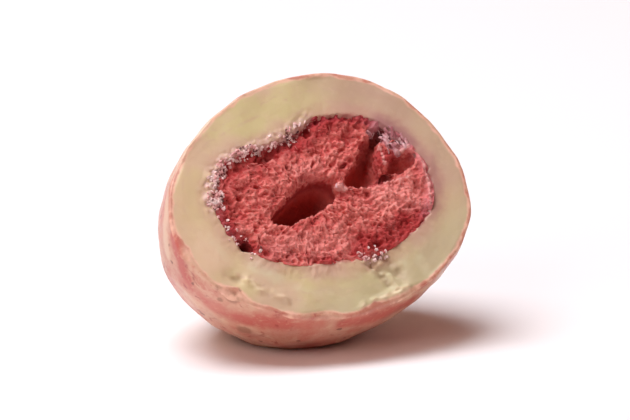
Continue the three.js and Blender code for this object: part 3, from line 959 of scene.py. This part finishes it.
def where_film_lies(shaper, out):
    """Along its stretches just inside the border, and on the pale marks."""
    place = shaper.node("GeometryNodeInputPosition") * (1 / MM)
    along = shaper.named("film").step(0.7, 1.0) * near_border(shaper, out, -2.3, 0.0)
    patches = shaper.noise(place, 0.8).step(0.42, 0.6)
    return along * patches + shaper.named("pale").step(0.7, 1.0) * out.step(-0.6, -0.2) * 0.5


def where_fibres_lie(shaper, out):
    """All over the flesh in patches, but not in its pits or at its border."""
    place = shaper.node("GeometryNodeInputPosition") * (1 / MM)
    patches = shaper.noise(place, 0.45, 2).step(0.4, 0.6)
    return shaper.named("from_border").step(-0.7, -1.2) * out.step(-1.0, -0.4) * (patches + 0.15)


def plain_finish(name, first, second, scale, **constants):
    """Two colours in soft patches, for things too small to show more."""
    finish = Finish(name, **constants)
    patches = finish.noise(finish.millimetres, scale, 2).step(0.38, 0.62)
    finish.set(Base_Color=finish.mix(patches, first, second))
    finish.bump(finish.noise(finish.millimetres, 12, 2), 0.03)
    return finish.material


def see_through(red, green, blue):
    """Light goes a little way into a small thing, further in some colours."""
    return {"Subsurface_Weight": 0.3, "Subsurface_Radius": (red, green, blue), "Subsurface_Scale": 0.2 * MM}


def add_small_things(coating, strawberry):
    """What clings to the cut: a frost of sugar with dark seeds, shreds of film, and torn fibres."""
    both = (coating, strawberry)
    frost = plain_finish(
        "frost", colour(244, 214, 208), colour(220, 160, 156), 1.4, Roughness=0.5,
        **see_through(1.0, 0.8, 0.8))
    dark = plain_finish("dark_specks", colour(122, 66, 62), colour(84, 42, 42), 2.0, Roughness=0.6)
    film = plain_finish(
        "fruit_film", colour(218, 168, 168), colour(176, 108, 114), 1.2, Roughness=0.5,
        **see_through(1.0, 0.7, 0.7))
    strand = plain_finish(
        "fibre", colour(228, 136, 126), colour(200, 92, 86), 0.9, Roughness=0.8, **see_through(1.0, 0.4, 0.3))
    made = (
        scattered(
            "frost_crystals", crystal, both, where_frost_lies, frost, spread=(1, 0.85, 0.75),
            Per_square_millimetre=18.0, Smallest=0.12, Largest=0.3, Seed=1),
        scattered(
            "frost_flakes", flake, both, where_frost_lies, frost, spread=(1, 0.75, 0.38),
            Per_square_millimetre=10.5, Smallest=0.22, Largest=0.55, Seed=6),
        scattered(
            "dark_specks", crystal, both, where_frost_lies, dark, spread=(1, 0.8, 0.6),
            Per_square_millimetre=2.6, Smallest=0.14, Largest=0.32, Seed=2),
        scattered(
            "film_shreds", shred, both, where_film_lies, film, lie=(1.2, 1.9),
            Per_square_millimetre=6.0, Smallest=0.4, Largest=1.2, Seed=3),
    )
    for things in made:
        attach(things, "root")
    fibres = scattered(
        "fibres", fibre, (strawberry,), where_fibres_lie, strand, lie=(-0.8, 0.8),
        Per_square_millimetre=0.8, Smallest=0.3, Largest=0.75, Seed=4)
    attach(fibres, "root")


# ---------------------------------------------------------------- the stage

def build_floor():
    mesh = bpy.data.meshes.new("floor")
    half = 1.5
    corners = [(-half, -half, 0), (half, -half, 0), (half, half, 0), (-half, half, 0)]
    mesh.from_pydata(corners, [], [(0, 1, 2, 3)])
    floor = new_piece("floor", mesh)
    finish = Finish("pale_floor", Roughness=0.6, Base_Color=colour(247, 243, 240))
    floor.data.materials.append(finish.material)


def add_light(name, direction, distance, size, power, tint=(1, 1, 1)):
    """A soft square light in this direction from the sweet, turned towards it."""
    light = bpy.data.lights.new(name, "AREA")
    light.size = size
    light.energy = power
    light.color = tint
    lamp = bpy.data.objects.new(name, light)
    lamp.location = Vector(direction).normalized() * distance
    lamp.rotation_euler = Vector(direction).to_track_quat("Z", "Y").to_euler()
    bpy.context.scene.collection.objects.link(lamp)


def build_light():
    """A pale room that the camera sees as white, a broad light overhead, and one on each side."""
    world = bpy.data.worlds.new("studio")
    world.use_nodes = True
    studio = Tree(world.node_tree)
    seen = studio.node("ShaderNodeLightPath", output="Is Camera Ray")
    background = world.node_tree.nodes["Background"]
    seen_colour = studio.mix(seen, ROOM_TINT, (1, 1, 1, 1))
    studio.tree.links.new(seen_colour.socket, background.inputs["Color"])
    studio.tree.links.new((seen * (1.0 - ROOM_LIGHT) + ROOM_LIGHT).socket, background.inputs["Strength"])
    bpy.context.scene.world = world
    add_light("overhead_softbox", (-0.34, 0.1, 1.0), 0.6, 0.42, 4.5, SOFTBOX_TINT)
    add_light("left_window", (-0.6, -0.8, 0.7), 0.6, 0.3, 0.95, WINDOW_TINT)
    add_light("right_strip", (0.85, 0.1, 0.5), 0.6, 0.15, 0.3, STRIP_TINT)
    bpy.context.scene.view_settings.view_transform = "Standard"


def build_camera():
    camera = bpy.data.cameras.new("camera")
    camera.sensor_width = SENSOR
    camera.lens = SENSOR * VIEW_DISTANCE / (VIEW_WIDTH * MM)
    holder = bpy.data.objects.new("camera", camera)
    back = Vector((0, -math.cos(VIEW_RAISED), math.sin(VIEW_RAISED)))
    up = Vector((0, math.sin(VIEW_RAISED), math.cos(VIEW_RAISED)))
    holder.location = Vector(MIDDLE * MM) - up * (VIEW_DROP * MM) + back * VIEW_DISTANCE
    holder.rotation_euler = (math.pi / 2 - VIEW_RAISED, 0, 0)
    bpy.context.scene.collection.objects.link(holder)
    bpy.context.scene.camera = holder


# ---------------------------------------------------------------- all of it

build_camera()
build_light()
build_floor()

coating = new_piece("coating", coating_mesh())
coating.data.materials.append(chocolate_finish())
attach(coating, "root")
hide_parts("white_chocolate_coating")

strawberry = thin_hidden_wall(torn_flesh().apply("torn_block", flesh_block()))
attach(strawberry, "root")
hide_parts("freeze_dried_strawberry")

add_small_things(coating, strawberry)
